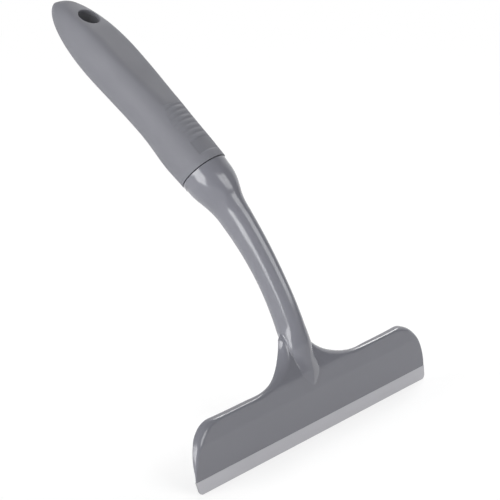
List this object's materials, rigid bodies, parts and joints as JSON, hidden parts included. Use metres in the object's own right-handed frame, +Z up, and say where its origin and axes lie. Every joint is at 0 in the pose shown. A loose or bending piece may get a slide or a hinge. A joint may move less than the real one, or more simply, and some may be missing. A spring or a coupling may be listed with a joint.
{
  "type": "shower squeegee",
  "caption": "Hand squeegee: wide flat head with a flexing rubber blade, a slim curved arm and a round soft grip with thumb ribs, a flat thumb panel and a hanging hole.",
  "frame": {"origin": "middle of the blade's flat wiping edge", "axes": "+X along the blade, -Y towards the user's side of the head, +Z up from the wiped surface; the handle leans back towards +Y"},
  "size_m": [0.23, 0.2069, 0.2397],
  "materials": {
    "head_plastic": "glossy moulded dark grey plastic",
    "core_plastic": "semi-gloss dark grey plastic",
    "grip_rubber": "matt soft-touch grey",
    "blade_rubber": "satin light grey"
  },
  "bodies": {
    "handle": {"head_and_arm": "head_plastic", "grip_core": "core_plastic", "grip_skin": "grip_rubber", "blade_root": "blade_rubber"},
    "lip": {"blade_lip": "blade_rubber"}
  },
  "joints": [
    {"name": "blade_flex", "type": "hinge", "parent": "handle", "child": "lip", "pos_m": [0, 0.00198, 0.0066], "axis": [1, 0, 0], "range_deg": [-35, 35], "stiffness_Nm_per_rad": 0.2}
  ]
}
